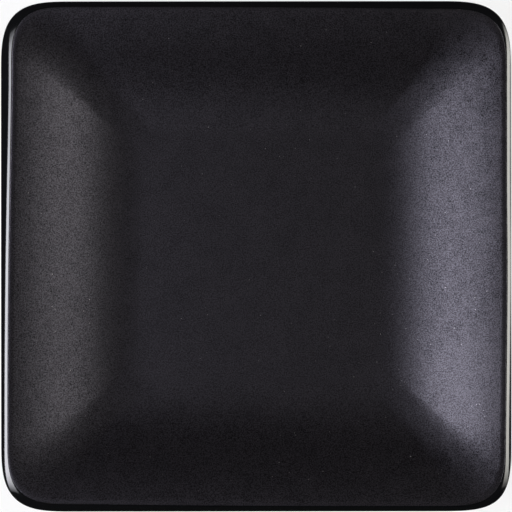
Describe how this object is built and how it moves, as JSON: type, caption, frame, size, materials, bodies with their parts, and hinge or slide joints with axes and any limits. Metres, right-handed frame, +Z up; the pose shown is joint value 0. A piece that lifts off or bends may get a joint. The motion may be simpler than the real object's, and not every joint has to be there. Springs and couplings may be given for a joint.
{
  "type": "dessert plate",
  "caption": "Square dessert plate with rounded corners, a flat well, sloping sides and a rolled lip; matte black glaze inside, gloss black lip and underside, bare clay foot ring.",
  "frame": {"origin": "on the table, under the middle of the plate", "axes": "+Z up out of the well, +X and +Y square to two neighbouring sides"},
  "size_m": [0.21, 0.21, 0.025],
  "materials": {
    "bare_stoneware": "bare fired clay, rough",
    "matte_black_glaze": "satin matte with a fine sandy grain",
    "gloss_black_glaze": "high gloss",
    "gloss_black_glaze_recess": "gloss"
  },
  "bodies": {
    "root": {"stoneware_body": "bare_stoneware", "inside_matte_glaze": "matte_black_glaze", "outside_gloss_glaze": "gloss_black_glaze", "foot_recess_glaze": "gloss_black_glaze_recess"}
  },
  "joints": []
}
